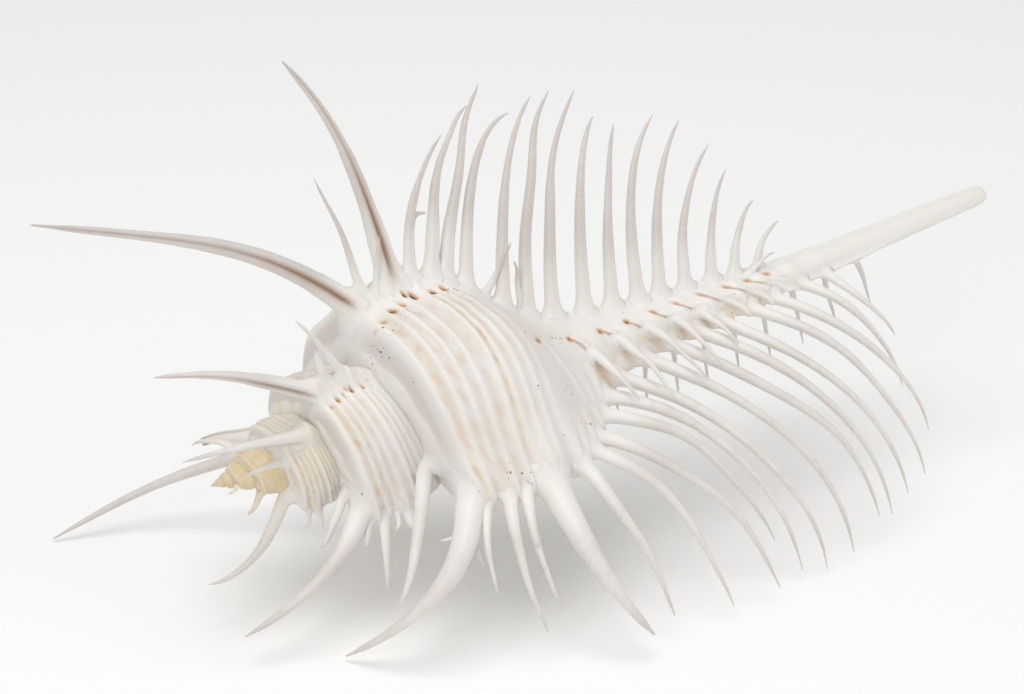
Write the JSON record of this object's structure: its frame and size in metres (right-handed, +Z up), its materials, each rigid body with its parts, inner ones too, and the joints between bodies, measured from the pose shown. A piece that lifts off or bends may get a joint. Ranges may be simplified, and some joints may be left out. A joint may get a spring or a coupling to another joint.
{
  "type": "venus comb murex shell",
  "caption": "Spiny sea snail shell: short spire, round body whorl, long straight canal and three combs of long curved spines.",
  "frame": {"origin": "bottom centre of the bounding box, where the shell rests on its spine tips", "axes": "+X along the canal, +Z up, -Y the side of the outer lip comb"},
  "size_m": [0.1542, 0.0724, 0.077],
  "materials": {
    "shell": "satin"
  },
  "bodies": {
    "root": {"murex_shell": "shell"}
  },
  "joints": []
}
